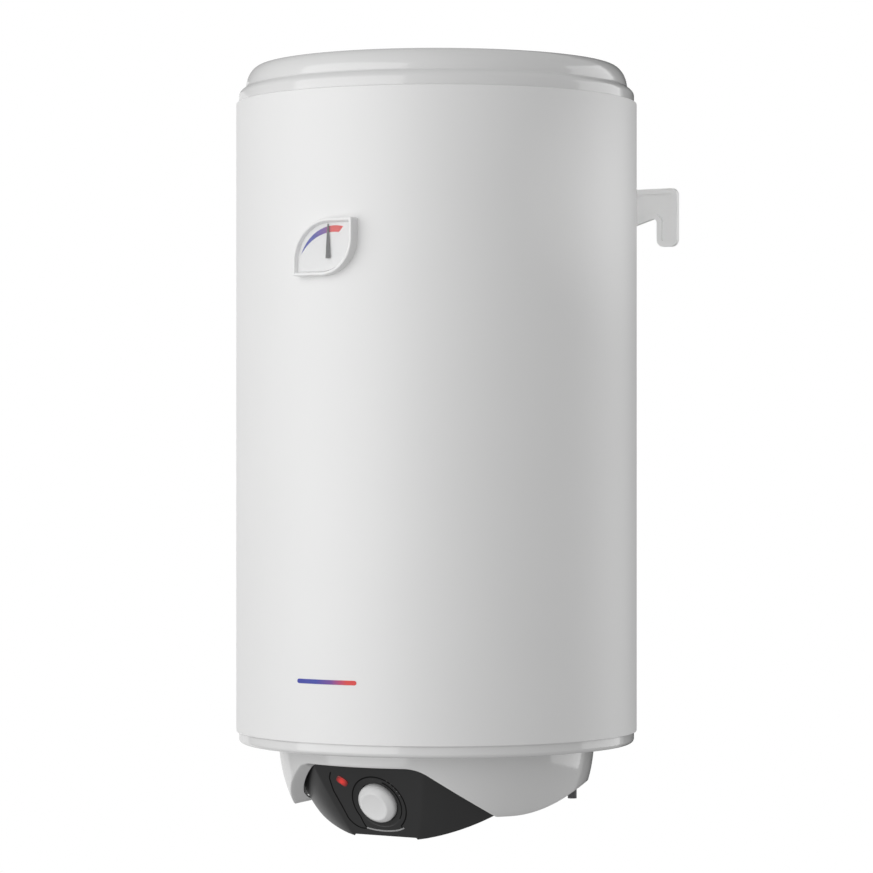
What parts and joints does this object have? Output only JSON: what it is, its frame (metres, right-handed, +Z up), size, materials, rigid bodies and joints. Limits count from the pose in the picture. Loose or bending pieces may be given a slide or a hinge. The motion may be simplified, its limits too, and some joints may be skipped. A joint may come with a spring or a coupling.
{
  "type": "tank water heater",
  "caption": "Wall-hung vertical electric tank water heater: white cylindrical casing, black control panel with knob, leaf-shaped thermometer, wall hooks, two pipe stubs.",
  "frame": {"origin": "on the wall plane, midway between the seats of the two wall hooks", "axes": "+Z up, -Y out of the wall towards the user (front), +X to the user's right"},
  "size_m": [0.46, 0.4895, 0.879],
  "materials": {
    "casing_white": "satin",
    "cover_white": "gloss",
    "floor_white": "matte",
    "panel_black": "satin",
    "print_grey": "matte",
    "knob_white": "satin",
    "steel": "satin",
    "lens_red": "gloss",
    "lamp_glass": "gloss",
    "dial_white": "matte",
    "arc_blue": "matte",
    "arc_purple": "matte",
    "arc_red": "matte",
    "pointer_black": "matte",
    "brass": "satin",
    "window_clear": "gloss",
    "case_dark": "matte",
    "hook_white": "satin",
    "tank_enamel": "gloss",
    "foam_yellow": "matte",
    "gasket_rubber": "matte",
    "element_sheath": "satin",
    "anode_metal": "matte",
    "well_copper": "satin",
    "diffuser_plastic": "matte",
    "collar_blue": "satin",
    "collar_red": "satin",
    "lead_copper": "satin",
    "gland_grey": "matte"
  },
  "bodies": {
    "heater": {"outer_casing": "casing_white", "top_cover": "cover_white", "bottom_lid": "cover_white", "bottom_skirt": "cover_white", "compartment_floor": "floor_white", "control_panel": "panel_black", "dial_ring": "panel_black", "dial_marks": "print_grey", "indicator_lens": "lens_red", "indicator_lamp": "lamp_glass", "gauge_bezel": "cover_white", "gauge_dial": "dial_white", "gauge_arc_cold": "arc_blue", "gauge_arc_warm": "arc_purple", "gauge_arc_hot": "arc_red", "gauge_window": "window_clear", "gauge_case": "case_dark", "gauge_bulb": "brass", "hook_arm_left": "hook_white", "hook_arm_right": "hook_white", "tank_strap": "steel", "tank_shell": "tank_enamel", "tank_top_head": "tank_enamel", "tank_bottom_head": "tank_enamel", "insulation_foam": "foam_yellow", "flange_neck": "steel", "flange_gasket": "gasket_rubber", "flange_plate": "steel", "flange_studs": "steel", "flange_nuts": "steel", "heating_element": "element_sheath", "element_terminals": "brass", "anode_rod": "anode_metal", "anode_nut": "steel", "thermowells": "well_copper", "cold_inlet_pipe": "steel", "inlet_diffuser": "diffuser_plastic", "hot_outlet_pipe": "steel", "cold_pipe_collar": "collar_blue", "hot_pipe_collar": "collar_red", "thermostat_body": "diffuser_plastic", "thermal_cutout": "case_dark", "terminal_block": "diffuser_plastic", "earth_screw": "brass", "inner_leads": "lead_copper", "cable_gland": "gland_grey", "gland_nut": "gland_grey", "cover_screws": "steel"},
    "knob": {"thermostat_knob": "knob_white", "thermostat_spindle": "steel"},
    "pointer": {"gauge_pointer": "pointer_black", "gauge_axle": "pointer_black"},
    "button": {"reset_button": "lens_red"}
  },
  "joints": [
    {"name": "knob_turn", "type": "hinge", "parent": "heater", "child": "knob", "pos_m": [0.0015, -0.37627, -0.66956], "axis": [0, -0.9063, -0.4226], "range_deg": [-135, 135]},
    {"name": "gauge_turn", "type": "hinge", "parent": "heater", "child": "pointer", "pos_m": [0.008, -0.486, -0.0631], "axis": [0, -1, 0], "range_deg": [-28, 75]},
    {"name": "reset_press", "type": "slide", "parent": "heater", "child": "button", "axis": [0, 0, 1], "range_m": [0, 0.002], "stiffness_N_per_m": 300, "springref_m": -0.002}
  ]
}
